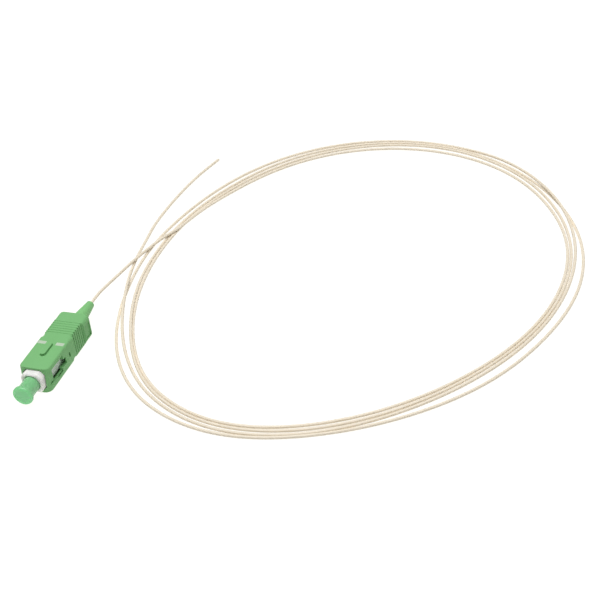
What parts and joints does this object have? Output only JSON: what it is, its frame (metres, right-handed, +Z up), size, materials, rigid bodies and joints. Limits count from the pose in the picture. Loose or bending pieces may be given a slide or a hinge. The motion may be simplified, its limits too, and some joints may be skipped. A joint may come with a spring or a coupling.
{
  "type": "fibre optic pigtail",
  "caption": "Fibre optic pigtail: a square push-pull plug with a capped ferrule and short boot, and a thin buffered fibre lying in loose turns with a cut end.",
  "frame": {"origin": "on the floor under the middle of the connector, from the dust cap's closed end to the boot's end; the fibre isn't counted", "axes": "+Y along the connector from its mating end to its boot, +Z up out of the grip's wide face with the key, +X to the side that the fibre's loop lies on"},
  "size_m": [0.1409, 0.1584, 0.0081],
  "materials": {
    "green_moulding": "satin",
    "cap_moulding": "soft gloss",
    "boot_moulding": "matt",
    "white_moulding": "satin",
    "zirconia": "polished",
    "nickel_plate": "nickel plated",
    "spring_steel": "drawn",
    "black_moulding": "matt",
    "fibre_buffer": "satin"
  },
  "bodies": {
    "plug": {"plug_frame": "white_moulding", "stop_ring": "black_moulding", "boot": "boot_moulding", "spring": "spring_steel", "fibre": "fibre_buffer"},
    "sleeve": {"grip": "green_moulding"},
    "ferrule_group": {"ferrule": "zirconia", "ferrule_flange": "nickel_plate"},
    "cap": {"dust_cap": "cap_moulding"}
  },
  "joints": [
    {"name": "grip_slide", "type": "slide", "parent": "plug", "child": "sleeve", "axis": [0, 1, 0], "range_m": [0, 0.0018]},
    {"name": "ferrule_float", "type": "slide", "parent": "plug", "child": "ferrule_group", "axis": [0, 1, 0], "range_m": [0, 0.001], "stiffness_N_per_m": 1000, "deforming": ["spring"]},
    {"name": "cap_pull_off", "type": "slide", "parent": "ferrule_group", "child": "cap", "axis": [0, -1, 0], "range_m": [0, 0.01]}
  ]
}
